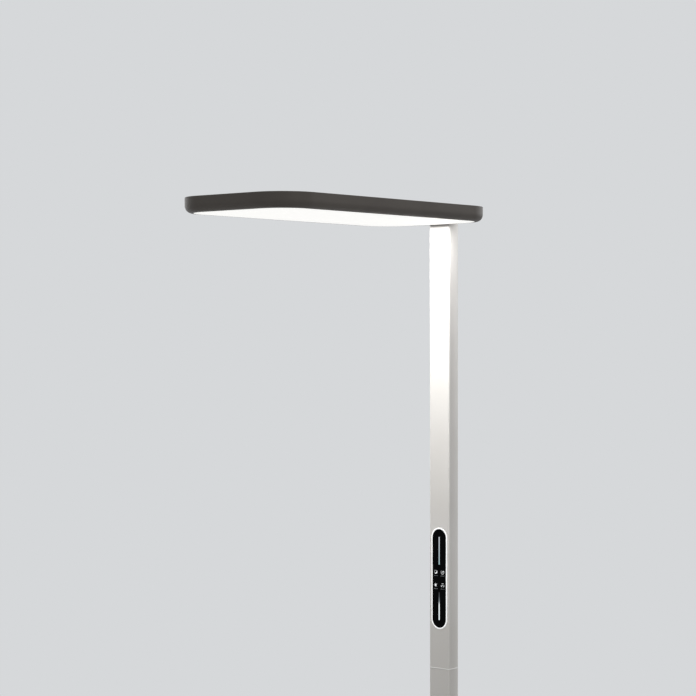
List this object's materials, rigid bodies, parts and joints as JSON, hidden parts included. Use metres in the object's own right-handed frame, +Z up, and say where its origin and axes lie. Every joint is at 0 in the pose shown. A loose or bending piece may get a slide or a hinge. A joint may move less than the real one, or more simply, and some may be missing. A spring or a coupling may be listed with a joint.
{
  "type": "office floor lamp",
  "caption": "Free-standing office floor lamp: slim rectangular head lit below and above, held at its rear edge on a slender post with a touch panel and a flat base plate.",
  "frame": {"origin": "on the floor, under the middle of the box round the whole lamp", "axes": "+Z up; -Y is the front, where the head reaches out and the touch panel faces; +X to the right when the touch panel is seen from behind the head's front edge looking along +Y"},
  "size_m": [0.306, 0.71, 1.95],
  "materials": {
    "head_finish": "dark anodised, satin",
    "seal_foam": "closed-cell foam",
    "opal": "opal, lit from behind",
    "window": "frosted, lit from below",
    "bare_sheet": "rolled sheet",
    "white_board": "white solder mask",
    "bracket_steel": "zinc plated",
    "dark_steel": "blackened",
    "bright_steel": "zinc plated",
    "green_board": "green solder mask",
    "brass_pillar": "turned",
    "post_finish": "fine blasted, clear anodised",
    "seam_bright": "bright turned bead",
    "tray_black": "moulded, matt",
    "insert_aluminium": "as extruded",
    "bezel_bright": "clear ring, lit from behind",
    "panel_glass": "black, high gloss",
    "light_guide": "lit from behind",
    "cable_black": "cable jacket",
    "supply_case": "white powder coat",
    "wire_brown": "wire jacket",
    "terminal_plastic": "moulded",
    "gland_black": "moulded, satin",
    "base_finish": "fine textured powder coat",
    "pad_black": "moulded"
  },
  "bodies": {
    "lamp": {"head_frame": "head_finish", "top_cover": "head_finish", "lens_seal": "seal_foam", "supply_pads": "seal_foam", "lower_diffuser": "opal", "upper_window": "window", "heat_spreader": "bare_sheet", "down_board_1": "white_board", "down_board_2": "white_board", "down_board_3": "white_board", "down_board_4": "white_board", "up_board_1": "white_board", "up_board_2": "white_board", "head_bracket": "bracket_steel", "nut_plate": "bracket_steel", "neck_bolts": "dark_steel", "cover_screws": "dark_steel", "foot_bolts": "dark_steel", "foot_screws": "dark_steel", "spigot_screws": "dark_steel", "spreader_screws": "bright_steel", "bracket_screws": "bright_steel", "dimming_board": "green_board", "control_board": "green_board", "dimming_pillars": "brass_pillar", "touch_springs": "brass_pillar", "post_upper": "post_finish", "post_lower": "post_finish", "post_cap": "post_finish", "seam_ring": "seam_bright", "control_tray": "tray_black", "joining_spigot": "insert_aluminium", "post_foot": "insert_aluminium", "control_bezel": "bezel_bright", "control_glass": "panel_glass", "upper_light_strip": "light_guide", "lower_light_strip": "light_guide", "wiring_loom": "cable_black", "control_lead": "cable_black", "inner_lead": "cable_black", "power_supply": "supply_case", "supply_leads": "wire_brown", "terminal_block": "terminal_plastic", "gland_body": "gland_black", "gland_nut": "gland_black", "base_plate": "base_finish"},
    "glide_rear_left": {"glide_pad_1": "pad_black", "glide_stud_1": "bright_steel"},
    "glide_rear_right": {"glide_pad_2": "pad_black", "glide_stud_2": "bright_steel"},
    "glide_front_left": {"glide_pad_3": "pad_black", "glide_stud_3": "bright_steel"},
    "glide_front_right": {"glide_pad_4": "pad_black", "glide_stud_4": "bright_steel"}
  },
  "joints": [
    {"name": "rear_left_glide_travel", "type": "slide", "parent": "lamp", "child": "glide_rear_left", "axis": [0, 0, -1], "range_m": [0, 0.005]},
    {"name": "rear_right_glide_travel", "type": "slide", "parent": "lamp", "child": "glide_rear_right", "axis": [0, 0, -1], "range_m": [0, 0.005]},
    {"name": "front_left_glide_travel", "type": "slide", "parent": "lamp", "child": "glide_front_left", "axis": [0, 0, -1], "range_m": [0, 0.005]},
    {"name": "front_right_glide_travel", "type": "slide", "parent": "lamp", "child": "glide_front_right", "axis": [0, 0, -1], "range_m": [0, 0.005]}
  ]
}
